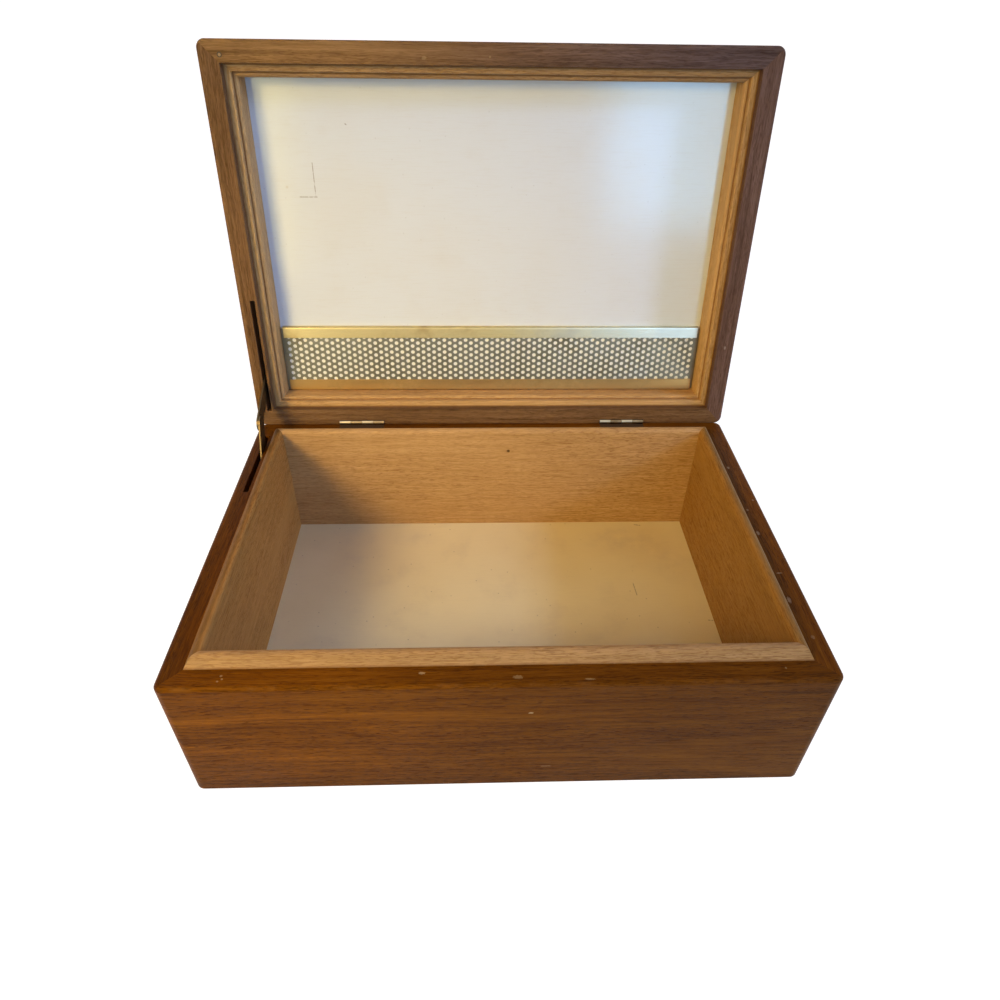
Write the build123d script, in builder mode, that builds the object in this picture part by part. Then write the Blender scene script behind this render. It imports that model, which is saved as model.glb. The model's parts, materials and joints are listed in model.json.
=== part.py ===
import math
import os

from build123d import *

os.makedirs("parts", exist_ok=True)

# Millimetres. +X is right, +Y is back, +Z is up. The origin is under the middle of the base.
# The box stands open, with the lid resting at its stop.

# Outside
box_width = 268.0
box_depth = 187.0
body_height = 70.5
corner_radius = 4.0
rim_round = 2.0
foot_round = 0.8

# Body boards
wall = 9.6
base_thickness = 4.2
base_lap = 5.0
base_clearance = 0.1
floor_thickness = 3.0
panel_clearance = 0.2
liner = 6.8
lip_height = 4.6
lip_slope = 2.9
lip_round = 2.3

# Lid boards, with depths counted from the lid's rim
lip_clearance = 0.3
lid_rim_round = 0.8
lid_liner = 3.2
lid_liner_setback = 4.4
lid_liner_round = 0.6
bead = 2.2
bead_setback = 7.2
bead_round = 1.7
lining_depth = 19.5
lining_thickness = 2.0
top_thickness = 6.5
top_round = 2.5
plug_radius = 1.1
plug_depth = 6.0
plug_from_side = 10.0
plug_from_front = 6.2

# Moisture strip in the lid, counted from the bead on the hinge side
strip_gap = 0.5
lower_rail_width = 5.9
window_width = 24.9
top_rail_width = 6.1
rail_thickness = 0.9
rail_bend = 0.8
rail_end_gap = 1.7
plate_thickness = 0.4
plate_end_gap = 0.3
card_thickness = 1.8
hole_radius = 1.1
hole_pitch = 3.5
first_row = 0.6
edge_land = 2.2

# Hinges
open_angle = 98.8
axis_inset = 1.1
axis_rise = 1.0
rim_gap = 0.2
hinge_from_side = 58.6
hinge_length = 25.4
knuckles = 4
knuckle_gap = 0.2
barrel_radius = 1.5
barrel_clearance = 0.3
leaf_thickness = 0.8
leaf_reach = 7.5
hinge_pin_radius = 0.75
running_clearance = 0.05
screw_spread = 8.0
screw_inset = 5.2
screw_head_radius = 1.4
screw_radius = 0.7
screw_length = 6.0
screw_slot_width = 0.4
screw_slot_depth = 0.3

# Folding lid stay in the left walls: arm pivots counted from the hinge axis, lid shut
lid_pivot_forward = 25.6
lid_pivot_rise = 8.7
body_pivot_forward = 32.0
body_pivot_drop = 12.0
arm_width = 8.4
arm_thickness = 0.8
arm_gap = 0.2
stay_inset = 6.8
slot_width = 2.6
slot_clearance = 0.6
lid_slot_start = 7.5
lid_slot_front_margin = 8.0
body_slot_start = 12.5
body_slot_front_margin = 2.0
stay_pin_radius = 0.8
stay_pin_hold = 3.0
rivet_radius = 0.8
rivet_play = 0.15
rivet_head_radius = 1.8
rivet_head_thickness = 0.2
rivet_head_gap = 0.08

# Places that follow from the sizes above
half_width = box_width / 2
half_depth = box_depth / 2
floor_top = base_thickness + floor_thickness
lid_wall = wall - lip_clearance
lid_wall_height = lining_depth + lining_thickness
bead_margin = lid_wall + lid_liner + bead

hinge_y = half_depth - axis_inset
hinge_z = body_height + axis_rise
lid_axis_rise = axis_rise - rim_gap
turn_cos = math.cos(math.radians(open_angle))
turn_sin = math.sin(math.radians(open_angle))
lid_back = (0, turn_cos, -turn_sin)
lid_up = (0, turn_sin, turn_cos)


# A point given back from and above the hinge axis with the lid shut, moved along with the open lid
def open_point(back, up):
    return (back * turn_cos + up * turn_sin, -back * turn_sin + up * turn_cos)


# The lid's own frame: its origin is in the middle of the rim, and its Z goes into the lid
rim_back, rim_up = open_point(-hinge_y, -lid_axis_rise)
lid_plane = Plane(
    origin=(0, hinge_y + rim_back, hinge_z + rim_up), x_dir=(1, 0, 0), z_dir=lid_up
)
lid_axis = Axis(lid_plane.origin, lid_plane.z_dir)


# Planes square to the hinge axis, with X back and Y up, on the body and on the lid
def body_section(x):
    return Plane(origin=(x, hinge_y, hinge_z), x_dir=(0, 1, 0), z_dir=(1, 0, 0))


def lid_section(x):
    return Plane(origin=(x, hinge_y, hinge_z), x_dir=lid_back, z_dir=(1, 0, 0))


# Corners at the two ends of each side of a frame, as signs of X and Y
sides = {
    "front": ((-1, -1), (1, -1)),
    "right": ((1, -1), (1, 1)),
    "back": ((1, 1), (-1, 1)),
    "left": ((-1, 1), (-1, -1)),
}


# Sketch of the part of a frame that one mitred board takes
def mitre_outline(side, size_x, size_y, thickness):
    start, end = sides[side]
    reach = 1.5 * thickness
    Polygon(
        (start[0] * size_x / 2, start[1] * size_y / 2),
        (end[0] * size_x / 2, end[1] * size_y / 2),
        (end[0] * (size_x / 2 - reach), end[1] * (size_y / 2 - reach)),
        (start[0] * (size_x / 2 - reach), start[1] * (size_y / 2 - reach)),
        align=None,
    )


# Sketch of a rectangle between two corners
def corner_rectangle(low_x, low_y, high_x, high_y):
    with Locations(((low_x + high_x) / 2, (low_y + high_y) / 2)):
        Rectangle(high_x - low_x, high_y - low_y)


def save(piece, name):
    piece.label = name
    export_step(piece, f"parts/{name}.step")


# Hinge positions along X, and where each knuckle starts from the hinge's left end
hinge_offset = half_width - hinge_from_side
hinges = {"left": -hinge_offset, "right": hinge_offset}
knuckle_pitch = (hinge_length + knuckle_gap) / knuckles
knuckle_length = knuckle_pitch - knuckle_gap
body_knuckles = [number * knuckle_pitch for number in range(0, knuckles, 2)]
lid_knuckles = [number * knuckle_pitch for number in range(1, knuckles, 2)]
gutter_radius = barrel_radius + barrel_clearance
gutter_length = hinge_length + 2 * knuckle_gap

# Leaves as corners of their sections: the body leaf is flush with the rim, the lid leaf is in a kerf
body_leaf_section = (-leaf_reach, -axis_rise - leaf_thickness, 0, -axis_rise)
lid_leaf_section = (-leaf_reach, barrel_radius - leaf_thickness, 0, barrel_radius)
screw_places = [
    (middle + step, hinge_y - screw_inset)
    for middle in hinges.values()
    for step in (-screw_spread, screw_spread)
]

# The stay is a parallelogram with the hinge: each arm is parallel to the line from the axis to a pivot
stay_x = -half_width + stay_inset
lid_pivot = open_point(-lid_pivot_forward, lid_pivot_rise)
body_pivot = (-body_pivot_forward, -body_pivot_drop)
knee = (lid_pivot[0] + body_pivot[0], lid_pivot[1] + body_pivot[1])
upper_arm_x = stay_x - arm_gap / 2 - arm_thickness
lower_arm_x = stay_x + arm_gap / 2
knee_reach = lid_pivot_forward + body_pivot_forward + arm_width / 2
lid_slot_end = knee_reach + lid_slot_front_margin
body_slot_end = knee_reach + body_slot_front_margin
lid_slot_depth = lid_pivot_rise + lid_axis_rise + arm_width / 2 + slot_clearance
body_slot_depth = body_pivot_drop - axis_rise + arm_width / 2 + slot_clearance
stay_pin_x = stay_x - slot_width / 2 - stay_pin_hold
body_pin_length = -half_width + wall - stay_pin_x
lid_pin_length = -half_width + lid_wall - stay_pin_x

# Body walls, mitred at the corners and rebated for the base
base_width = box_width - 2 * (wall - base_lap)
base_depth = box_depth - 2 * (wall - base_lap)
for side in sides:
    with BuildPart() as body_wall:
        with BuildSketch():
            RectangleRounded(box_width, box_depth, corner_radius)
            Rectangle(box_width - 2 * wall, box_depth - 2 * wall, mode=Mode.SUBTRACT)
        extrude(amount=body_height)
        fillet(body_wall.faces().sort_by(Axis.Z)[-1].outer_wire().edges(), rim_round)
        fillet(body_wall.faces().sort_by(Axis.Z)[0].outer_wire().edges(), foot_round)
        with BuildSketch():
            mitre_outline(side, box_width, box_depth, wall)
        extrude(amount=body_height, mode=Mode.INTERSECT)
        with BuildSketch():
            Rectangle(base_width, base_depth)
        extrude(amount=base_thickness, mode=Mode.SUBTRACT)
        if side == "left":
            with BuildSketch(Plane.XY.offset(body_height)):
                with Locations((stay_x, hinge_y - (body_slot_start + body_slot_end) / 2)):
                    Rectangle(slot_width, body_slot_end - body_slot_start)
            extrude(amount=-body_slot_depth, mode=Mode.SUBTRACT)
            with BuildSketch(body_section(stay_pin_x)):
                with Locations(body_pivot):
                    Circle(stay_pin_radius)
            extrude(amount=body_pin_length, mode=Mode.SUBTRACT)
        if side == "back":
            for middle in hinges.values():
                with BuildSketch(body_section(middle - hinge_length / 2)):
                    corner_rectangle(*body_leaf_section)
                extrude(amount=hinge_length, mode=Mode.SUBTRACT)
                with BuildSketch(body_section(middle - gutter_length / 2)):
                    Circle(gutter_radius)
                extrude(amount=gutter_length, mode=Mode.SUBTRACT)
            with BuildSketch(Plane.XY.offset(body_height - screw_length)):
                with Locations(*screw_places):
                    Circle(screw_radius)
            extrude(amount=screw_length, mode=Mode.SUBTRACT)
    save(body_wall.part, f"body_{side}_wall")

with BuildPart() as base_board:
    with BuildSketch():
        Rectangle(base_width - 2 * base_clearance, base_depth - 2 * base_clearance)
    extrude(amount=base_thickness)
save(base_board.part, "base_board")

with BuildPart() as floor_lining:
    with BuildSketch(Plane.XY.offset(base_thickness)):
        Rectangle(
            box_width - 2 * (wall + panel_clearance), box_depth - 2 * (wall + panel_clearance)
        )
    extrude(amount=floor_thickness)
save(floor_lining.part, "floor_lining")

# Body liner, standing on the floor lining and proud of the rim as a lip that slopes in outside
liner_width = box_width - 2 * wall
liner_depth = box_depth - 2 * wall
liner_height = body_height + lip_height - floor_top
for side in sides:
    with BuildPart() as liner_board:
        with BuildSketch(Plane.XY.offset(floor_top)):
            Rectangle(liner_width, liner_depth)
            Rectangle(liner_width - 2 * liner, liner_depth - 2 * liner, mode=Mode.SUBTRACT)
        extrude(amount=liner_height)
        lip_top = liner_board.faces().sort_by(Axis.Z)[-1]
        chamfer(lip_top.outer_wire().edges(), lip_slope, lip_height, reference=lip_top)
        fillet(liner_board.faces().sort_by(Axis.Z)[-1].edges(), lip_round)
        with BuildSketch(Plane.XY.offset(floor_top)):
            mitre_outline(side, liner_width, liner_depth, liner)
        extrude(amount=liner_height, mode=Mode.INTERSECT)
    save(liner_board.part, f"liner_{side}")

# Lid walls
for side in sides:
    with BuildPart() as lid_side:
        with BuildSketch(lid_plane):
            RectangleRounded(box_width, box_depth, corner_radius)
            Rectangle(box_width - 2 * lid_wall, box_depth - 2 * lid_wall, mode=Mode.SUBTRACT)
        extrude(amount=lid_wall_height)
        fillet(lid_side.faces().sort_by(lid_axis)[0].outer_wire().edges(), lid_rim_round)
        with BuildSketch(lid_plane):
            mitre_outline(side, box_width, box_depth, lid_wall)
        extrude(amount=lid_wall_height, mode=Mode.INTERSECT)
        if side == "left":
            with BuildSketch(lid_plane):
                with Locations((stay_x, hinge_y - (lid_slot_start + lid_slot_end) / 2)):
                    Rectangle(slot_width, lid_slot_end - lid_slot_start)
            extrude(amount=lid_slot_depth, mode=Mode.SUBTRACT)
            with BuildSketch(body_section(stay_pin_x)):
                with Locations(lid_pivot):
                    Circle(stay_pin_radius)
            extrude(amount=lid_pin_length, mode=Mode.SUBTRACT)
        if side == "back":
            for middle in hinges.values():
                with BuildSketch(lid_section(middle - hinge_length / 2)):
                    corner_rectangle(*lid_leaf_section)
                extrude(amount=hinge_length, mode=Mode.SUBTRACT)
                with BuildSketch(lid_section(middle - gutter_length / 2)):
                    Circle(gutter_radius)
                extrude(amount=gutter_length, mode=Mode.SUBTRACT)
        if side == "front":
            with BuildSketch(lid_plane):
                with Locations((plug_from_side - half_width, plug_from_front - half_depth)):
                    Circle(plug_radius)
            extrude(amount=plug_depth, mode=Mode.SUBTRACT)
    save(lid_side.part, f"lid_{side}_wall")

with BuildPart() as lid_rim_plug:
    with BuildSketch(lid_plane):
        with Locations((plug_from_side - half_width, plug_from_front - half_depth)):
            Circle(plug_radius)
    extrude(amount=plug_depth)
save(lid_rim_plug.part, "lid_rim_plug")

with BuildPart() as lid_top_board:
    with BuildSketch(lid_plane.offset(lid_wall_height)):
        RectangleRounded(box_width, box_depth, corner_radius)
    extrude(amount=top_thickness)
    fillet(lid_top_board.faces().sort_by(lid_axis)[-1].outer_wire().edges(), top_round)
save(lid_top_board.part, "lid_top_board")

with BuildPart() as lid_lining:
    with BuildSketch(lid_plane.offset(lining_depth)):
        Rectangle(
            box_width - 2 * (lid_wall + panel_clearance),
            box_depth - 2 * (lid_wall + panel_clearance),
        )
    extrude(amount=lining_thickness)
save(lid_lining.part, "lid_lining")

# Lid liner strips, and the beads inside them
lid_frames = {
    "lid_liner": (lid_wall, lid_liner, lid_liner_setback, lid_liner_round),
    "lid_bead": (lid_wall + lid_liner, bead, bead_setback, bead_round),
}
for frame_name, (margin, thickness, setback, inner_round) in lid_frames.items():
    frame_width = box_width - 2 * margin
    frame_depth = box_depth - 2 * margin
    for side in sides:
        with BuildPart() as strip:
            with BuildSketch(lid_plane.offset(setback)):
                Rectangle(frame_width, frame_depth)
                Rectangle(
                    frame_width - 2 * thickness, frame_depth - 2 * thickness, mode=Mode.SUBTRACT
                )
            extrude(amount=lining_depth - setback)
            strip_face = strip.faces().sort_by(lid_axis)[0]
            fillet(strip_face.inner_wires()[0].edges(), inner_round)
            with BuildSketch(lid_plane.offset(setback)):
                mitre_outline(side, frame_width, frame_depth, thickness)
            extrude(amount=lining_depth - setback, mode=Mode.INTERSECT)
        save(strip.part, f"{frame_name}_{side}")

# Moisture strip: a card on the lining, a perforated plate over it and two brass rails
strip_half = half_width - bead_margin
strip_back = half_depth - bead_margin - strip_gap
window_back = strip_back - lower_rail_width
window_front = window_back - window_width
strip_front = window_front - top_rail_width
plate_front = strip_front + rail_thickness
plate_half = strip_half - plate_end_gap
rail_half = strip_half - rail_end_gap
card_depth = lining_depth - card_thickness
plate_depth = card_depth - plate_thickness
rail_depth = plate_depth - rail_thickness

with BuildPart() as moisture_card:
    with BuildSketch(lid_plane.offset(card_depth)):
        corner_rectangle(-plate_half, plate_front, plate_half, strip_back)
    extrude(amount=card_thickness)
save(moisture_card.part, "moisture_card")

# Round holes in staggered columns, from the lower rail's edge to the top rail's
column_pitch = hole_pitch * math.sqrt(3) / 2
side_columns = int((plate_half - edge_land) / column_pitch)
hole_rows = int((window_width - first_row) / hole_pitch + 0.5)
hole_places = []
for column in range(-side_columns, side_columns + 1):
    staggered = column % 2
    for row in range(hole_rows + 1 - staggered):
        rise = first_row + (row + staggered / 2) * hole_pitch
        hole_places.append((column * column_pitch, window_back - rise))

with BuildPart() as perforated_plate:
    with BuildSketch(lid_plane.offset(plate_depth)):
        corner_rectangle(-plate_half, plate_front, plate_half, strip_back)
        with Locations(*hole_places):
            Circle(hole_radius, mode=Mode.SUBTRACT)
    extrude(amount=plate_thickness)
save(perforated_plate.part, "perforated_plate")

with BuildPart() as lower_rail:
    with BuildSketch(lid_plane.offset(rail_depth)):
        corner_rectangle(-rail_half, window_back, rail_half, strip_back)
    extrude(amount=rail_thickness)
save(lower_rail.part, "lower_rail")

# The top rail is bent back over the edge of the plate and down to the lining
with BuildPart() as top_rail:
    with BuildSketch(lid_plane.offset(rail_depth)):
        corner_rectangle(-rail_half, strip_front, rail_half, window_front)
    extrude(amount=rail_thickness)
    with BuildSketch(lid_plane.offset(rail_depth)):
        corner_rectangle(-rail_half, strip_front, rail_half, plate_front)
    extrude(amount=lining_depth - rail_depth)
    rail_face = top_rail.faces().sort_by(lid_axis)[0]
    fillet(rail_face.edges().sort_by(Axis.Z)[-1], rail_bend)
save(top_rail.part, "top_rail")

# Hinges, each with two leaves and a pin
for hinge_name, middle in hinges.items():
    left_end = middle - hinge_length / 2
    leaves = {
        "body": (body_section, body_leaf_section, body_knuckles, lid_knuckles, 0),
        "lid": (lid_section, lid_leaf_section, lid_knuckles, body_knuckles, running_clearance),
    }
    for leaf_name, (section, corners, own_starts, other_starts, play) in leaves.items():
        with BuildPart() as leaf:
            with BuildSketch(section(left_end)):
                corner_rectangle(*corners)
            extrude(amount=hinge_length)
            for start in other_starts:
                with BuildSketch(section(left_end + start - knuckle_gap)):
                    Circle(gutter_radius)
                extrude(amount=knuckle_length + 2 * knuckle_gap, mode=Mode.SUBTRACT)
            for start in own_starts:
                with BuildSketch(section(left_end + start)):
                    Circle(barrel_radius)
                extrude(amount=knuckle_length)
            with BuildSketch(section(left_end)):
                Circle(hinge_pin_radius + play)
            extrude(amount=hinge_length, mode=Mode.SUBTRACT)
            if leaf_name == "body":
                with Locations(*[(x, y, body_height) for x, y in screw_places]):
                    CounterSinkHole(screw_radius, screw_head_radius)
        save(leaf.part, f"hinge_{hinge_name}_{leaf_name}_leaf")

    with BuildPart() as hinge_pin:
        with BuildSketch(body_section(left_end)):
            Circle(hinge_pin_radius)
        extrude(amount=hinge_length)
    save(hinge_pin.part, f"hinge_{hinge_name}_pin")

# Countersunk screws of the body leaves
head_drop = screw_head_radius - screw_radius
with BuildPart() as hinge_screws:
    for x, y in screw_places:
        with BuildSketch(Plane(origin=(x, y, body_height), x_dir=(1, 0, 0), z_dir=(0, -1, 0))):
            with BuildLine():
                Polyline(
                    (0, 0),
                    (screw_head_radius, 0),
                    (screw_radius, -head_drop),
                    (screw_radius, -screw_length),
                    (0, -screw_length),
                    close=True,
                )
            make_face()
        revolve(axis=Axis((x, y, body_height), (0, 0, 1)))
    with BuildSketch(Plane.XY.offset(body_height)):
        with Locations(*screw_places):
            Rectangle(2 * screw_head_radius, screw_slot_width)
    extrude(amount=-screw_slot_depth, mode=Mode.SUBTRACT)
save(hinge_screws.part, "hinge_screws")


# Sketch of a stay arm between two pivots, with a hole at each
def arm_outline(start, end, start_hole, end_hole):
    length = math.hypot(end[0] - start[0], end[1] - start[1])
    slope = math.degrees(math.atan2(end[1] - start[1], end[0] - start[0]))
    with Locations(((start[0] + end[0]) / 2, (start[1] + end[1]) / 2)):
        SlotCenterToCenter(length, arm_width, rotation=slope)
    with Locations(start):
        Circle(start_hole, mode=Mode.SUBTRACT)
    with Locations(end):
        Circle(end_hole, mode=Mode.SUBTRACT)


pivot_hole = stay_pin_radius + running_clearance

with BuildPart() as stay_upper_arm:
    with BuildSketch(body_section(upper_arm_x)):
        arm_outline(lid_pivot, knee, pivot_hole, rivet_radius + rivet_play)
    extrude(amount=arm_thickness)
save(stay_upper_arm.part, "stay_upper_arm")

with BuildPart() as stay_lower_arm:
    with BuildSketch(body_section(lower_arm_x)):
        arm_outline(body_pivot, knee, pivot_hole, rivet_radius)
    extrude(amount=arm_thickness)
save(stay_lower_arm.part, "stay_lower_arm")

# The knee rivet is set tight in the lower arm and turns in the upper one
rivet_start = upper_arm_x - rivet_head_gap
rivet_end = lower_arm_x + arm_thickness
with BuildPart() as stay_knee_rivet:
    with BuildSketch(body_section(rivet_start)):
        with Locations(knee):
            Circle(rivet_radius)
    extrude(amount=rivet_end - rivet_start)
    with BuildSketch(body_section(rivet_start), body_section(rivet_end + rivet_head_thickness)):
        with Locations(knee):
            Circle(rivet_head_radius)
    extrude(amount=-rivet_head_thickness)
save(stay_knee_rivet.part, "stay_knee_rivet")

stay_pins = {"stay_lid_pin": (lid_pivot, lid_pin_length), "stay_body_pin": (body_pivot, body_pin_length)}
for pin_name, (pivot, length) in stay_pins.items():
    with BuildPart() as stay_pin:
        with BuildSketch(body_section(stay_pin_x)):
            with Locations(pivot):
                Circle(stay_pin_radius)
        extrude(amount=length)
    save(stay_pin.part, pin_name)
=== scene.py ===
import json
import math

import bpy
from mathutils import Matrix, Vector


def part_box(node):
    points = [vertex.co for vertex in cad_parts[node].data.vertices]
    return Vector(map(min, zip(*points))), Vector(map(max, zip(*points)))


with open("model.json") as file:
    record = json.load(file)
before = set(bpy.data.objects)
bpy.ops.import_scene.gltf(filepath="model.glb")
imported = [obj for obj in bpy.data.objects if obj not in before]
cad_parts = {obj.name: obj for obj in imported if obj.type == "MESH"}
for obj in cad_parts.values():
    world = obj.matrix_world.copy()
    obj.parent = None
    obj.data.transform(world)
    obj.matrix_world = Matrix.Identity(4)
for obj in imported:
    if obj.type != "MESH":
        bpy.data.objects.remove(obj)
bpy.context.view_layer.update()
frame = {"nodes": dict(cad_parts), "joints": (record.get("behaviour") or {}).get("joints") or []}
nodes = frame["nodes"]
print("frame loaded:", len(nodes), "nodes")

# How the lid stands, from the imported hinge
lidHinge = next(joint for joint in frame["joints"] if joint["name"] == "lid_hinge")
hingePoint = Vector(lidHinge["pos_m"])
lidTurn = math.radians(lidHinge["range_deg"][1])  # from open to shut
shutTurn = Matrix.Rotation(lidTurn, 3, "X")

mm = 1000.0  # patterns are drawn in millimetres
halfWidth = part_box("lid_top_board")[1].x * mm
halfDepth = -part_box("body_front_wall")[0].y * mm
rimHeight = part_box("body_front_wall")[1].z * mm
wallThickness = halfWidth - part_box("liner_right")[1].x * mm


class Wire:
    # a shader value that Python can add, multiply and compare
    def __init__(self, shader, socket):
        self.shader = shader
        self.socket = socket

    def math(self, operation, first, second=0.0):
        return self.shader.node("Math", {"operation": operation}, {0: first, 1: second})

    def __add__(self, other):
        return self.math("ADD", self, other)

    def __radd__(self, other):
        return self.math("ADD", other, self)

    def __sub__(self, other):
        return self.math("SUBTRACT", self, other)

    def __rsub__(self, other):
        return self.math("SUBTRACT", other, self)

    def __mul__(self, other):
        return self.math("MULTIPLY", self, other)

    def __rmul__(self, other):
        return self.math("MULTIPLY", other, self)

    def __truediv__(self, other):
        return self.math("DIVIDE", self, other)

    def __pow__(self, other):
        return self.math("POWER", self, other)

    def __abs__(self):
        return self.math("ABSOLUTE", self)

    def least(self, other):
        return self.math("MINIMUM", self, other)

    def most(self, other):
        return self.math("MAXIMUM", self, other)

    # 0 below the first value, 1 above the second, eased between them; the values may also fall
    def fade(self, start, end):
        sockets = {"Value": self, "From Min": start, "From Max": end}
        return self.shader.node("MapRange", {"interpolation_type": "SMOOTHSTEP"}, sockets)


class Shader:
    # the nodes of one material or world, with the few helpers that every finish here uses
    def __init__(self, owner, surface="Principled BSDF"):
        owner.use_nodes = True
        self.owner = owner
        self.tree = owner.node_tree
        self.surface = self.tree.nodes[surface]

    def node(self, kind, settings=None, inputs=None, outputs=0):
        node = self.tree.nodes.new("ShaderNode" + kind)
        for key, value in (settings or {}).items():
            setattr(node, key, value)
        for key, value in (inputs or {}).items():
            self.plug(self.socket(node.inputs, key), value)
        if isinstance(outputs, tuple):
            return [Wire(self, self.socket(node.outputs, key)) for key in outputs]
        return Wire(self, self.socket(node.outputs, outputs))

    def socket(self, sockets, key):
        if isinstance(key, int):
            return sockets[key]
        return next(s for s in sockets if s.enabled and key in (s.identifier, s.name))

    def plug(self, socket, value):
        if isinstance(value, Wire):
            self.tree.links.new(value.socket, socket)
        elif socket.type == "RGBA":
            socket.default_value = (*value, 1.0)
        else:
            socket.default_value = value

    def mix(self, amount, first, second, blend="MIX"):
        settings = {"data_type": "RGBA", "blend_type": blend, "clamp_factor": True}
        sockets = {"Factor_Float": amount, "A_Color": first, "B_Color": second}
        return self.node("Mix", settings, sockets, "Result_Color")

    # colours at places from 0 to 1, read off by a value
    def ramp(self, value, stops):
        wire = self.node("ValToRGB", {}, {"Fac": value})
        elements = wire.socket.node.color_ramp.elements
        while len(elements) < len(stops):
            elements.new(0.5)
        for element, (place, colour) in zip(elements, stops):
            element.position = place
            element.color = (*colour, 1.0)
        return wire

    def noise(self, vector, scale=1.0, detail=2.0, roughness=0.5, outputs=0):
        sockets = {"Vector": vector, "Scale": scale, "Detail": detail, "Roughness": roughness}
        return self.node("TexNoise", {}, sockets, outputs)

    # noise with its own scale along the first axis and across it
    def grain(self, vector, along, across, detail=2.0, roughness=0.5, outputs=0):
        return self.noise(self.scaled(vector, (along, across, across)), 1.0, detail, roughness, outputs)

    def join(self, x, y, z):
        return self.node("CombineXYZ", {}, {0: x, 1: y, 2: z})

    def split(self, vector):
        return self.node("SeparateXYZ", {}, {0: vector}, (0, 1, 2))

    def scaled(self, vector, factors):
        return self.node("VectorMath", {"operation": "MULTIPLY"}, {0: vector, 1: factors})

    def moved(self, vector, step):
        return self.node("VectorMath", {"operation": "ADD"}, {0: vector, 1: step})

    # millimetres from the middle of the base, with the lid's pieces turned shut
    def place(self, onLid):
        spot = self.node("TexCoord", {}, {}, "Object")
        if onLid:
            shift = hingePoint - shutTurn @ hingePoint
            sockets = {"Vector": spot, "Location": shift, "Rotation": (lidTurn, 0.0, 0.0)}
            spot = self.node("Mapping", {}, sockets)
        return self.scaled(spot, (mm, mm, mm))

    # 1 along a straight stroke between two points in the plane of x and y
    def stroke(self, x, y, start, end, width):
        runX, runY = end[0] - start[0], end[1] - start[1]
        square = runX * runX + runY * runY
        along = (x - start[0]) * (runX / square) + (y - start[1]) * (runY / square)
        along = along.most(0.0).least(1.0)
        offX = x - start[0] - along * runX
        offY = y - start[1] - along * runY
        return ((offX * offX + offY * offY) ** 0.5).fade(width, 0.4 * width)

    # distance from a point, 1 on the ellipsoid of the given radii
    def away(self, vector, centre, radii):
        step = self.moved(vector, tuple(-c for c in centre))
        step = self.scaled(step, tuple(1.0 / r for r in radii))
        return self.node("VectorMath", {"operation": "LENGTH"}, {0: step}, "Value")

    # 1 for what the eye sees directly, in a mirror or through glass
    def seen(self):
        rays = self.node("LightPath", {}, {}, ("Is Camera Ray", "Is Glossy Ray", "Is Transmission Ray"))
        return rays[0].most(rays[1]).most(rays[2])

    def bump(self, height, depth):
        return self.node("Bump", {}, {"Strength": 1.0, "Distance": depth / mm, "Height": height})

    def finish(self, **sockets):
        for key, value in sockets.items():
            self.plug(self.surface.inputs[key.replace("_", " ")], value)
        return self.owner


def newShader(name):
    return Shader(bpy.data.materials.new(name))


def dress(nodeNames, material):
    for name in nodeNames:
        piece = nodes[name]
        piece.data.materials.clear()
        piece.data.materials.append(material)


# Wood

walnut = {
    "colours": [
        (0.26, (0.058, 0.0180, 0.0010)),
        (0.50, (0.125, 0.0405, 0.0024)),
        (0.74, (0.215, 0.0790, 0.0065)),
    ],
    "poreColour": (0.034, 0.010, 0.002),
    "poreDepth": 0.66,
    "poreSize": (0.17, 1.9),
    "ringSpacing": 6.5,
    "ringShare": 0.48,
    "streakShare": 0.56,
    "fibreShare": 0.46,
    "wander": 12.0,
    "blotch": 0.24,
    "rubColour": (0.260, 0.115, 0.036),
    "rub": 0.22,
    "roughness": 0.44,
    "specular": 0.07,
    "sheen": (1.0, 0.74, 0.34),
}

# the lid's rim and the faces inside it are greyer
greyWalnut = [
    (0.26, (0.086, 0.0440, 0.0180)),
    (0.50, (0.173, 0.0930, 0.0420)),
    (0.74, (0.265, 0.1530, 0.0740)),
]

mahogany = {
    "colours": [
        (0.26, (0.335, 0.185, 0.062)),
        (0.50, (0.485, 0.292, 0.120)),
        (0.76, (0.620, 0.400, 0.190)),
    ],
    "poreColour": (0.210, 0.092, 0.030),
    "poreDepth": 0.56,
    "poreSize": (0.19, 1.9),
    "ringSpacing": 14.0,
    "ringShare": 0.18,
    "streakShare": 0.44,
    "fibreShare": 0.58,
    "wander": 6.0,
    "blotch": 0.18,
    "rubColour": (0.720, 0.470, 0.240),
    "rub": 0.40,
    "roughness": 0.52,
    "specular": 0.20,
    "sheen": (1.0, 0.86, 0.66),
}

# what both woods share: pattern scales along and across the grain, per millimetre, and wear
boardDetail = {
    "drift": (0.005, 0.012),
    "streaks": (0.016, 0.55),
    "fibres": (0.09, 2.6),
    "blotch": (0.009, 0.024),
    "ringRun": 0.004,
    "rimPoreLoss": 0.25,
    "rubWidth": 2.2,
    "markDepth": 3.0,
    "jointShade": 0.8,
    "lipFootShade": 0.75,
    "grainDepth": 0.05,
}

bareWood = (0.540, 0.390, 0.180)
darkSpot = (0.060, 0.022, 0.008)
noPaintedLight = (1.0, 1.0, 1.0)


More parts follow.
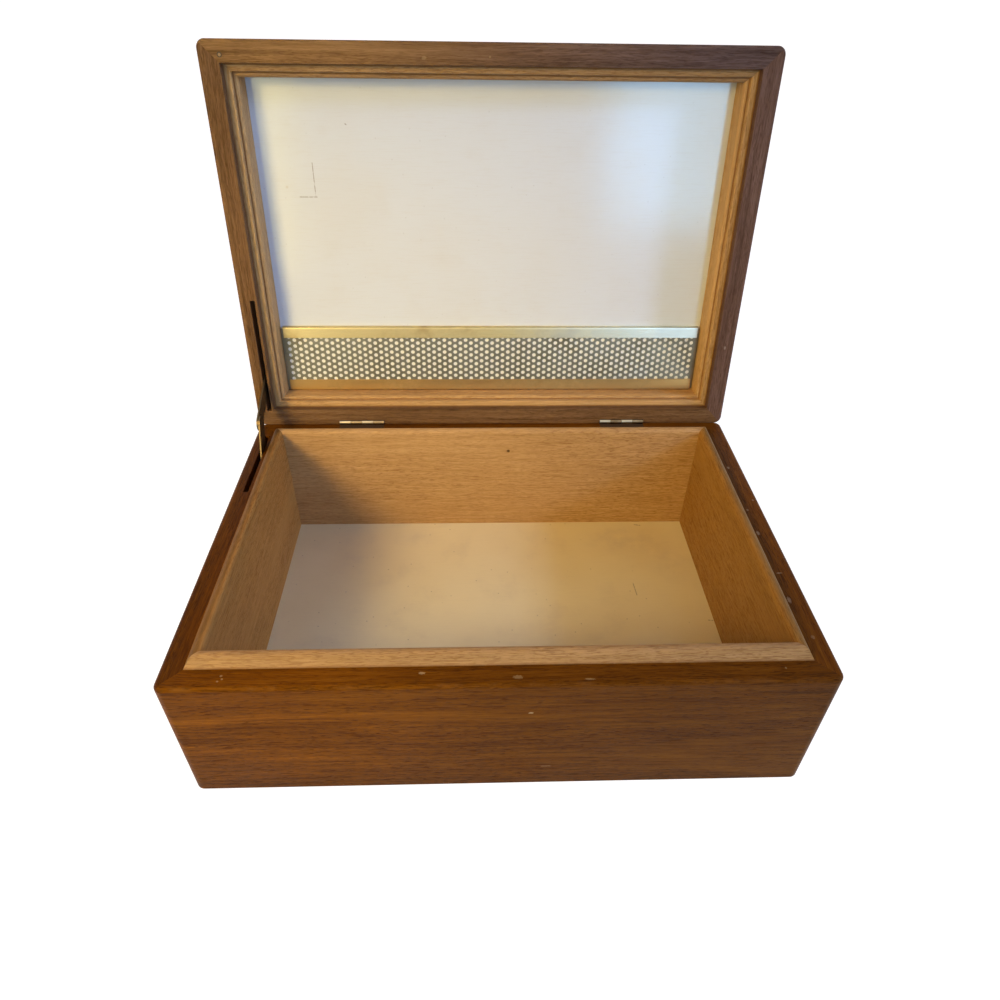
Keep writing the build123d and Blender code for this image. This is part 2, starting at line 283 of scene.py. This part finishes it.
# One board of solid wood, with its grain along X or along Y
def woodBoard(
    name, wood, onLid=False, grain="X", shift=(0.0, 0.0, 0.0), pith=(70.0, 20.0), marks=(),
    markColour=bareWood, paintedLight=(), lipShades=None, joint=None, paintedLightTint=noPaintedLight, rimColours=None,
):
    shader = newShader(name)
    place = shader.place(onLid)
    x, y, z = shader.split(place)
    along, across = (x, y) if grain == "X" else (y, x)
    board = shader.moved(shader.join(along, across, z), shift)

    # the grain wanders a little along the board
    drift = shader.grain(board, *boardDetail["drift"], outputs="Color")
    drift = shader.moved(drift, (-0.5, -0.5, -0.5))
    board = shader.moved(board, shader.scaled(drift, (0.0, wood["wander"], wood["wander"])))
    run, side, rise = shader.split(board)

    # growth rings round a pith outside the board, then streaks, fibres and open pores
    offSide = side - pith[0]
    offRise = rise - pith[1]
    ring = (offSide * offSide + offRise * offRise) ** 0.5
    ringPlace = shader.join(run * boardDetail["ringRun"], ring / wood["ringSpacing"], 0.0)
    rings = shader.noise(ringPlace, detail=3.0, roughness=0.55)
    streaks = shader.grain(board, *boardDetail["streaks"], 4.0, 0.62)
    fibres = shader.grain(board, *boardDetail["fibres"], 3.0, 0.6)
    poreAlong, poreAcross = wood["poreSize"]
    finePores = shader.grain(board, poreAlong * 1.6, poreAcross * 1.5, 1.0).fade(0.54, 0.65)
    longPores = shader.grain(board, poreAlong * 0.6, poreAcross, 1.0).fade(0.56, 0.68)
    pores = finePores.most(longPores) * rings.fade(0.80, 0.38)

    blotch = shader.grain(board, *boardDetail["blotch"])
    tone = 0.5 + (rings - 0.5) * wood["ringShare"] + (streaks - 0.5) * wood["streakShare"]
    tone = tone + (fibres - 0.5) * wood["fibreShare"] + (blotch - 0.5) * wood["blotch"]
    colour = shader.ramp(tone, wood["colours"])
    sideGap = (halfWidth - abs(x)).least(halfDepth - abs(y))
    above = z - rimHeight
    poreDepth = wood["poreDepth"]
    if rimColours is not None:
        rim = above.fade(1.6, 0.7).most(sideGap.fade(1.0, 2.5))
        colour = shader.mix(rim, colour, shader.ramp(tone, rimColours))
        poreDepth = poreDepth - rim * boardDetail["rimPoreLoss"]
    colour = shader.mix(pores * poreDepth, colour, wood["poreColour"])

    # the finish is rubbed thin along the arrises
    corner = (halfWidth - abs(x)).most(halfDepth - abs(y))
    edge = sideGap.most(abs(above)).least(corner * 0.8)
    patches = shader.noise(place, 0.09, 4.0, 0.65)
    rubbed = edge.fade(boardDetail["rubWidth"], 0.4) * patches.fade(0.46, 0.70) * wood["rub"]
    colour = shader.mix(rubbed, colour, wood["rubColour"])

    # painted light and shade: broad areas are made lighter, darker or bluer, as the lamps would light them
    for centre, radii, gain in paintedLight:
        area = shader.away(place, centre, radii).fade(1.0, 0.0)
        colour = shader.mix(area, colour, shader.scaled(colour, gain))

    # knocks, knots and holes
    height = fibres * 0.35 - pores
    ragged = shader.noise(place, 1.6, 3.0, 0.6) * 1.2 - 0.6
    for centre, radii, amount in marks:
        mark = (shader.away(place, centre, radii) + ragged).fade(1.0, 0.5)
        colour = shader.mix(mark * amount, colour, markColour)
        height = height - mark * boardDetail["markDepth"]

    # painted shade: a dark line in the joint with the board outside it, broken into patches
    if joint is not None:
        creviceShade = sideGap.fade(joint + 1.0, joint + 0.3) * patches.fade(0.15, 0.45)
        colour = shader.mix(creviceShade * boardDetail["jointShade"], colour, wood["poreColour"])

    # painted shade on a lip above the rim: darker at its foot and over its height, most on its outer slope
    if lipShades is not None:
        outerShare, innerShare = lipShades
        outer = sideGap.fade(wallThickness + 6.0, wallThickness + 4.0)
        creviceShade = above.fade(1.0, 0.0) * outer * patches.fade(0.25, 0.5)
        colour = shader.mix(creviceShade * boardDetail["lipFootShade"], colour, wood["poreColour"])
        lipShade = innerShare + outer * (outerShare - innerShare)
        lipShade = 1.0 + above.fade(-0.5, 2.0) * (lipShade - 1.0)
        colour = shader.mix(1.0, colour, lipShade, "MULTIPLY")
    # painted light and shade: the whole board made darker, lighter or bluer
    if paintedLightTint != noPaintedLight:
        colour = shader.mix(1.0, colour, paintedLightTint, "MULTIPLY")
    smears = shader.noise(place, 0.035, 3.0, 0.6)
    rough = wood["roughness"] + (fibres - 0.5) * 0.14 + (smears - 0.5) * 0.20
    rough = rough + pores * 0.12 + rubbed * 0.1
    return shader.finish(
        Base_Color=colour, Roughness=rough, Normal=shader.bump(height, boardDetail["grainDepth"]),
        Specular_IOR_Level=wood["specular"], Specular_Tint=wood["sheen"],
    )


# Knocks on the walnut as (place, radii, strength), in millimetres with the lid shut
frontMarks = [
    ((-108.9, -87.1, 70.5), (0.7, 0.6, 1.0), 0.35),
    ((-108.2, -88.6, 70.5), (0.6, 0.5, 1.0), 0.35),
    ((-109.7, -89.6, 70.5), (0.6, 0.5, 1.0), 0.40),
    ((-31.7, -87.1, 70.5), (1.6, 0.8, 1.0), 0.55),
    ((5.5, -89.7, 70.5), (2.4, 1.1, 1.2), 0.30),
    ((33.3, -91.2, 70.2), (2.6, 0.6, 1.0), 0.35),
    ((11.1, -93.5, 52.3), (1.1, 0.8, 0.6), 0.80),
    ((18.9, -93.5, 13.5), (3.2, 0.8, 0.30), 0.40),
    ((111.6, -87.3, 70.5), (0.6, 0.5, 0.8), 0.35),
]
rightMarks = [
    ((126.4, 47.0, 70.5), (0.8, 1.3, 1.0), 0.35),
    ((131.2, 18.9, 70.4), (0.8, 0.7, 1.0), 0.30),
    ((126.0, 11.0, 70.5), (0.6, 0.9, 1.0), 0.30),
    ((125.8, -6.6, 70.5), (0.9, 1.8, 1.0), 0.40),
    ((126.8, -34.1, 70.5), (1.7, 0.4, 1.0), 0.40),
    ((125.6, -50.8, 70.5), (1.0, 2.2, 1.0), 0.35),
    ((128.3, -71.8, 70.5), (1.0, 1.3, 1.0), 0.18),
]
lidFrontMarks = [
    ((-32.2, -87.0, 70.7), (1.4, 1.0, 1.0), 0.22),
    ((-2.2, -87.7, 70.7), (0.7, 0.6, 1.0), 0.22),
]
lidRightMarks = [((129.1, 48.2, 70.7), (0.7, 1.2, 1.0), 0.45)]
backKnot = [((8.9, 77.1, 61.4), (1.2, 1.4, 1.1), 0.9)]

# Painted light and shade over broad areas as (place, radii, gain of each colour): the front wall lit warm
# at its left, the lid's front wall lighter at its left and darker and bluer at its right
frontLightPool = [((-105.0, -93.5, 30.0), (150.0, 60.0, 75.0), (1.75, 1.75, 1.0))]
lidFrontLightAndShade = [
    ((-110.0, -88.0, 71.0), (130.0, 40.0, 60.0), (1.45, 1.5, 1.3)),
    ((115.0, -88.0, 71.0), (170.0, 40.0, 60.0), (0.62, 0.74, 1.45)),
]

# the tints on the side walls are painted light and shade: the left wall darker, the right walls bluer
walnutBoards = {
    "body_front_wall": {
        "shift": (31.0, 0.0, 4.0), "pith": (-40.0, 24.0), "marks": frontMarks, "paintedLight": frontLightPool,
    },
    "body_back_wall": {"shift": (210.0, 0.0, 9.0), "pith": (150.0, 36.0)},
    "body_left_wall": {
        "grain": "Y", "shift": (420.0, 7.0, 15.0), "pith": (-60.0, 42.0), "paintedLightTint": (0.68, 0.66, 0.60),
    },
    "body_right_wall": {
        "grain": "Y", "shift": (640.0, 3.0, 21.0), "pith": (70.0, 31.0), "marks": rightMarks,
        "paintedLightTint": (1.12, 1.08, 1.30),
    },
    "lid_front_wall": {
        "onLid": True, "shift": (77.0, 0.0, 3.0), "pith": (-30.0, 60.0), "marks": lidFrontMarks,
        "paintedLight": lidFrontLightAndShade, "rimColours": greyWalnut,
    },
    "lid_back_wall": {
        "onLid": True, "shift": (350.0, 0.0, 12.0), "pith": (150.0, 60.0), "rimColours": greyWalnut,
    },
    "lid_left_wall": {
        "onLid": True, "grain": "Y", "shift": (530.0, 5.0, 18.0), "pith": (-70.0, 60.0),
        "rimColours": greyWalnut,
    },
    "lid_right_wall": {
        "onLid": True, "grain": "Y", "shift": (820.0, 9.0, 24.0), "pith": (80.0, 66.0),
        "marks": lidRightMarks, "paintedLightTint": (0.80, 0.84, 1.35), "rimColours": greyWalnut,
    },
    "lid_top_board": {"onLid": True, "shift": (960.0, 40.0, 5.0), "pith": (30.0, 20.0)},
}
for name, board in walnutBoards.items():
    dress([name], woodBoard(name + "_walnut", walnut, **board))

# the lips and the tints on the side liners are painted shade
mahoganyBoards = {
    "liner_front": {"shift": (15.0, 20.0, 50.0), "pith": (-90.0, 120.0), "lipShades": (0.88, 0.92)},
    "liner_back": {
        "shift": (270.0, 30.0, 90.0), "pith": (220.0, 130.0), "lipShades": (1.0, 1.0), "marks": backKnot,
        "markColour": darkSpot,
    },
    "liner_left": {
        "grain": "Y", "shift": (510.0, 11.0, 140.0), "pith": (-90.0, 160.0), "lipShades": (0.40, 0.90),
        "paintedLightTint": (0.88, 0.73, 0.45),
    },
    "liner_right": {
        "grain": "Y", "shift": (730.0, 17.0, 190.0), "pith": (60.0, 210.0), "lipShades": (0.85, 1.05),
        "paintedLightTint": (0.67, 0.56, 0.30),
    },
}

# the lid's strips and beads go round in the same way, each cut from another place in the wood; their tints
# are painted light and shade, darkest on the front strips under the top board
lidStrips = {
    "front": {"grain": "X", "paintedLightTint": (0.74, 0.76, 0.86)},
    "back": {"grain": "X", "paintedLightTint": (1.05, 1.06, 1.04)},
    "left": {"grain": "Y", "paintedLightTint": (1.05, 1.06, 1.04)},
    "right": {"grain": "Y", "paintedLightTint": (1.05, 1.06, 1.04)},
}
for step, (side, cut) in enumerate(lidStrips.items()):
    for row, strip in enumerate(("lid_liner_", "lid_bead_")):
        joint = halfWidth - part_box(strip + "right")[1].x * mm
        shift = (130.0 + 190.0 * step + 70.0 * row, 23.0 * step + 9.0, 31.0 * row + 260.0)
        mahoganyBoards[strip + side] = {
            "onLid": True, "shift": shift, "pith": (90.0, 300.0), "joint": joint, **cut
        }
for name, board in mahoganyBoards.items():
    dress([name], woodBoard(name + "_mahogany", mahogany, **board))
print("wood done:", len(walnutBoards) + len(mahoganyBoards), "boards")


# White laminated panels, in millimetres with the lid shut:
# pencil strokes are (start, end, width) and smudges (place, radii, strength)

smudgeColour = (0.480, 0.420, 0.320)
pencilColour = (0.120, 0.100, 0.080)

panels = {
    "lid_lining": {
        "finish": "lid_laminate", "onLid": True,
        "white": (0.650, 0.708, 0.775), "yellowed": (0.640, 0.670, 0.685),
        "mottle": 0.06, "specks": 0.12, "roughness": 0.13,
        "strokes": [
            ((-91.7, -41.8), (-91.6, -25.8), 0.30),
            ((-91.0, -25.8), (-99.8, -25.8), 0.30),
            ((-73.4, -59.4), (-72.9, -58.9), 0.4),
        ],
        "smudges": [
            ((-85.0, -56.6, 90.0), (6.0, 4.0, 9.0), 0.12),
            ((-105.8, -30.5, 90.0), (1.0, 1.0, 9.0), 0.9),
        ],
    },
    "floor_lining": {
        "finish": "floor_laminate", "onLid": False,
        "white": (0.730, 0.650, 0.400), "yellowed": (0.670, 0.560, 0.310),
        "mottle": 0.18, "specks": 0.45, "roughness": 0.34,
        "strokes": [
            ((78.8, 23.3), (79.4, 13.9), 0.34),
            ((114.8, -5.3), (117.0, -5.6), 0.45),
            ((88.6, 74.2), (92.0, 73.6), 0.5),
        ],
        "smudges": [
            ((80.0, 60.0, 7.2), (34.0, 20.0, 9.0), 0.50),
            ((90.3, 73.9, 7.2), (1.4, 1.0, 3.0), 1.0),
            ((-58.2, -6.5, 7.2), (0.9, 0.9, 3.0), 1.0),
            ((-82.6, 18.8, 7.2), (0.8, 0.8, 3.0), 1.0),
            ((-45.0, 64.0, 7.2), (16.0, 12.0, 9.0), 0.30),
            ((102.0, 40.0, 7.2), (16.0, 26.0, 9.0), 0.30),
        ],
    },
}


def laminatePanel(panel):
    shader = newShader(panel["finish"])
    place = shader.place(panel["onLid"])
    x, y = shader.split(place)[:2]
    cloud = shader.noise(place, 0.012, 3.0, 0.55)
    weave = shader.grain(place, 0.10, 1.7, 3.0, 0.6)
    colour = shader.mix(cloud.fade(0.36, 0.72) * 0.7, panel["white"], panel["yellowed"])
    colour = shader.mix(weave.fade(0.45, 0.8) * 0.10, colour, smudgeColour)
    # specks, in some areas only
    sockets = {"Vector": place, "Scale": 0.07}
    specks = shader.node("TexVoronoi", {"voronoi_dimensions": "2D"}, sockets, "Distance").fade(0.034, 0.014)
    specks = specks * shader.noise(place, 0.04, 1.0).fade(0.46, 0.60)
    colour = shader.mix(specks * panel["specks"], colour, pencilColour)
    mottle = shader.noise(place, 0.05, 5.0, 0.65).fade(0.50, 0.75)
    colour = shader.mix(mottle * panel["mottle"], colour, smudgeColour)
    uneven = shader.noise(place, 0.12, 4.0, 0.6).fade(0.25, 0.75)
    for centre, radii, amount in panel["smudges"]:
        haze = shader.away(place, centre, radii).fade(1.0, 0.0) * uneven
        colour = shader.mix(haze * amount, colour, smudgeColour)
    marks = None
    for start, end, width in panel["strokes"]:
        line = shader.stroke(x, y, start, end, width)
        marks = line if marks is None else marks.most(line)
    broken = shader.noise(place, 0.9, 2.0).fade(0.30, 0.5)
    colour = shader.mix(marks * broken * 0.6, colour, pencilColour)
    rough = panel["roughness"] + (weave - 0.5) * 0.16 + (cloud - 0.5) * 0.14
    return shader.finish(
        Base_Color=colour, Roughness=rough, Normal=shader.bump(weave, 0.012), Specular_IOR_Level=0.5
    )


for name, panel in panels.items():
    dress([name], laminatePanel(panel))
print("panels done")


# Metal of the moisture strip, the hinges and the stay

hingeGrimeAndShade = (0.030, 0.013, 0.004)
metals = {
    "rail_brass": {
        "nodes": ["top_rail"], "onLid": True, "brush": (0.03, 2.6), "roughness": 0.30,
        "colour": (0.620, 0.480, 0.215), "paintedReflection": (0.640, 0.730, 0.720),
        "tarnish": (0.360, 0.240, 0.100), "tarnishShare": (0.45, 0.75),
    },
    "dull_brass": {
        "nodes": ["lower_rail"], "onLid": True, "brush": (0.03, 2.6), "roughness": 0.34,
        "colour": (0.560, 0.345, 0.125),
        "tarnish": (0.360, 0.220, 0.085), "tarnishShare": (0.45, 0.75),
    },
    "olive_plate": {
        "nodes": ["perforated_plate"], "onLid": True, "brush": (0.25, 1.2), "roughness": 0.42,
        "colour": (0.235, 0.222, 0.170),
        "tarnish": (0.140, 0.120, 0.075), "tarnishShare": (0.40, 0.75),
    },
    "hinge_brass": {
        "nodes": [
            "hinge_left_body_leaf", "hinge_right_body_leaf", "hinge_left_pin", "hinge_right_pin",
            "hinge_screws",
        ],
        "onLid": False, "brush": (0.6, 1.4), "roughness": 0.34,
        "colour": (0.520, 0.430, 0.290), "grimeAndShade": hingeGrimeAndShade,
        "tarnish": (0.300, 0.220, 0.110), "tarnishShare": (0.48, 0.74),
    },
    "hinge_brown": {
        "nodes": ["hinge_left_lid_leaf", "hinge_right_lid_leaf"],
        "onLid": False, "brush": (0.6, 1.4), "roughness": 0.40,
        "colour": (0.330, 0.240, 0.140), "grimeAndShade": hingeGrimeAndShade,
        "tarnish": (0.110, 0.072, 0.032), "tarnishShare": (0.40, 0.68),
    },
    "stay_steel": {
        "nodes": ["stay_upper_arm", "stay_lower_arm", "stay_knee_rivet", "stay_lid_pin", "stay_body_pin"],
        "onLid": False, "brush": (2.0, 0.25), "roughness": 0.40,
        "colour": (0.150, 0.105, 0.055),
        "tarnish": (0.055, 0.034, 0.015), "tarnishShare": (0.38, 0.70),
    },
}


def metalFinish(name, metal):
    shader = newShader(name)
    place = shader.place(metal["onLid"])
    brush = shader.grain(place, *metal["brush"], 3.0, 0.6)
    stain = shader.noise(place, 0.05, 5.0, 0.62)
    dull = stain.fade(*metal["tarnishShare"])
    colour = shader.mix(dull * 0.8, metal["colour"], metal["tarnish"])
    colour = shader.mix((brush - 0.5).fade(0.0, 0.4) * 0.25, colour, metal["tarnish"])
    # painted reflection: the rail turns pale and bluish towards the right, as a window's reflection would
    if "paintedReflection" in metal:
        right = shader.split(place)[0] + stain * 60.0
        colour = shader.mix(right.fade(20.0, 150.0) * 0.7, colour, metal["paintedReflection"])
    rough = metal["roughness"] + (brush - 0.5) * 0.22 + dull * 0.16
    # grime and painted shade cover a hinge, and only the crown of each knuckle stays bright
    plain = 1.0
    if "grimeAndShade" in metal:
        y, z = shader.split(shader.moved(place, -hingePoint * mm))[1:]
        beside = ((y * y + z * z) ** 0.5).fade(1.5, 1.8)
        grimeAndShade = (z * 0.5 - y * 0.87).fade(1.40, 1.15).most(beside)
        colour = shader.mix(grimeAndShade * 0.95, colour, metal["grimeAndShade"])
        plain = 1.0 - grimeAndShade
        rough = rough + grimeAndShade * 0.25
    return shader.finish(
        Base_Color=colour, Metallic=plain, Roughness=rough, Normal=shader.bump(brush, 0.006),
        Specular_IOR_Level=0.1,
    )


for name, metal in metals.items():
    dress(metal["nodes"], metalFinish(name, metal))

card = {"white": (0.930, 0.930, 0.900), "aged": (0.860, 0.830, 0.740), "roughness": 0.85}


def cardFinish():
    shader = newShader("white_card")
    place = shader.place(True)
    fibre = shader.noise(place, 0.9, 4.0, 0.65)
    cloud = shader.noise(place, 0.03, 3.0).fade(0.35, 0.75)
    colour = shader.mix(cloud * 0.6 + fibre * 0.15, card["white"], card["aged"])
    rough = card["roughness"] + (fibre - 0.5) * 0.1
    return shader.finish(Base_Color=colour, Roughness=rough, Normal=shader.bump(fibre, 0.03))


dress(["moisture_card"], cardFinish())

plug = {
    "filler": (0.240, 0.150, 0.060), "paleFiller": (0.330, 0.200, 0.090), "ring": (0.030, 0.014, 0.006),
    "ringWidth": 0.7, "roughness": 0.5,
}


def plugFinish():
    shader = newShader("wood_filler")
    place = shader.place(True)
    low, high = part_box("lid_rim_plug")
    radius = (high.x - low.x) / 2 * mm
    middle = (shutTurn @ ((low + high) / 2 - hingePoint) + hingePoint) * mm
    x, y = shader.split(shader.moved(place, -middle))[:2]
    away = (x * x + y * y) ** 0.5
    grain = shader.grain(place, 0.6, 2.0, 4.0)
    colour = shader.mix(grain * 0.6, plug["filler"], plug["paleFiller"])
    colour = shader.mix(away.fade(radius - plug["ringWidth"], radius - 0.2), colour, plug["ring"])
    rough = plug["roughness"] + (grain - 0.5) * 0.2
    return shader.finish(Base_Color=colour, Roughness=rough, Normal=shader.bump(grain, 0.05))


dress(["lid_rim_plug"], plugFinish())

base = {
    "colours": [
        (0.30, (0.165, 0.092, 0.044)),
        (0.52, (0.250, 0.150, 0.078)),
        (0.75, (0.330, 0.212, 0.120)),
    ],
    "roughness": 0.68,
}


def baseFinish():
    shader = newShader("base_ply")
    place = shader.place(False)
    fibres = shader.grain(place, 0.02, 0.9, 5.0, 0.65)
    cloud = shader.noise(place, 0.02, 3.0)
    colour = shader.ramp(fibres * 0.7 + cloud * 0.3, base["colours"])
    rough = base["roughness"] + (fibres - 0.5) * 0.2
    return shader.finish(Base_Color=colour, Roughness=rough, Normal=shader.bump(fibres, 0.08))


dress(["base_board"], baseFinish())
print("metal, card, plug and base done")


# Stage, light and camera

stage = {
    "size": 12.0, "floorColour": (0.80, 0.79, 0.77), "seenColour": (0.30, 0.30, 0.30),
    "glow": (0.93, 0.93, 0.93), "worldColour": (1.0, 0.72, 0.78), "worldLevel": 0.25,
}
black = (0.0, 0.0, 0.0)
white = (1.0, 1.0, 1.0)


def makeFloor():
    bpy.ops.object.select_all(action="DESELECT")
    bpy.ops.mesh.primitive_plane_add(size=stage["size"], location=(0.0, 0.0, 0.0))
    floor = bpy.context.object
    floor.name = "floor"
    shader = newShader("pale_floor")
    seen = shader.seen()
    colour = shader.mix(seen, stage["floorColour"], stage["seenColour"])
    glow = shader.mix(seen, black, stage["glow"])
    floor.data.materials.append(
        shader.finish(Base_Color=colour, Roughness=0.9, Emission_Color=glow, Emission_Strength=1.0)
    )


def makeWorld():
    world = bpy.data.worlds.new("studio")
    bpy.context.scene.world = world
    shader = Shader(world, "Background")
    shader.finish(Color=stage["worldColour"], Strength=stage["worldLevel"])
    sky = Wire(shader, shader.surface.outputs[0])
    backdrop = shader.node("Background", {}, {"Color": white, "Strength": 1.0})
    both = shader.node("MixShader", {}, {0: shader.seen(), 1: sky, 2: backdrop})
    shader.plug(shader.tree.nodes["World Output"].inputs["Surface"], both)


lamps = {
    "key": {
        "place": (-0.40, -0.36, 0.43), "aim": (-0.03, 0.07, 0.10), "size": (0.20, 0.20), "spread": 52.0,
        "power": 0.385, "colour": (1.0, 0.70, 0.24),
    },
    "fill": {
        "place": (-0.46, -0.72, 0.25), "aim": (-0.05, 0.0, 0.08), "size": (0.34, 0.34), "spread": 180.0,
        "power": 1.08, "colour": (1.0, 0.88, 0.18),
    },
    "window": {
        "place": (0.57, -1.74, 0.48), "aim": (0.0, 0.05, 0.10), "size": (0.38, 0.66), "spread": 180.0,
        "power": 6.2, "colour": (0.26, 0.62, 1.0),
    },
    "sky": {
        "place": (1.22, -0.42, 0.87), "aim": (0.0, 0.05, 0.08), "size": (0.22, 0.22), "spread": 180.0,
        "power": 11.0, "colour": (0.42, 0.58, 1.0),
    },
}


def makeLamps():
    for name, lamp in lamps.items():
        data = bpy.data.lights.new(name, "AREA")
        data.shape = "RECTANGLE"
        data.size, data.size_y = lamp["size"]
        data.spread = math.radians(lamp["spread"])
        data.energy = lamp["power"]
        data.color = lamp["colour"]
        light = bpy.data.objects.new(name, data)
        bpy.context.scene.collection.objects.link(light)
        light.location = lamp["place"]
        aim = Vector(lamp["aim"]) - Vector(lamp["place"])
        light.rotation_euler = aim.to_track_quat("-Z", "Y").to_euler()


view = {
    "place": (-0.010886, -0.264154, 0.297238), "pitch": 39.143, "yaw": 2.393, "roll": -1.066,
    "focalPixels": 719.62, "middle": (497.677, 507.826), "imagePixels": 1000.0, "sensor": 36.0,
}


def makeCamera():
    data = bpy.data.cameras.new("camera")
    data.sensor_width = view["sensor"]
    data.lens = view["sensor"] * view["focalPixels"] / view["imagePixels"]
    half = view["imagePixels"] / 2
    data.shift_x = (half - view["middle"][0]) / view["imagePixels"]
    data.shift_y = (view["middle"][1] - half) / view["imagePixels"]
    data.clip_start = 0.01
    camera = bpy.data.objects.new("camera", data)
    bpy.context.scene.collection.objects.link(camera)
    pitch, yaw, roll = (math.radians(view[key]) for key in ("pitch", "yaw", "roll"))
    forward = Vector((math.sin(yaw) * math.cos(pitch), math.cos(yaw) * math.cos(pitch), -math.sin(pitch)))
    level = Vector((math.cos(yaw), -math.sin(yaw), 0.0))
    down = forward.cross(level)
    right = math.cos(roll) * level + math.sin(roll) * down
    below = math.cos(roll) * down - math.sin(roll) * level
    turn = Matrix((right, -below, -forward)).transposed().to_4x4()
    camera.matrix_world = Matrix.Translation(view["place"]) @ turn
    bpy.context.scene.camera = camera


makeFloor()
makeWorld()
makeLamps()
makeCamera()
bpy.context.scene.view_settings.view_transform = "Standard"
print("stage, lamps and camera done")
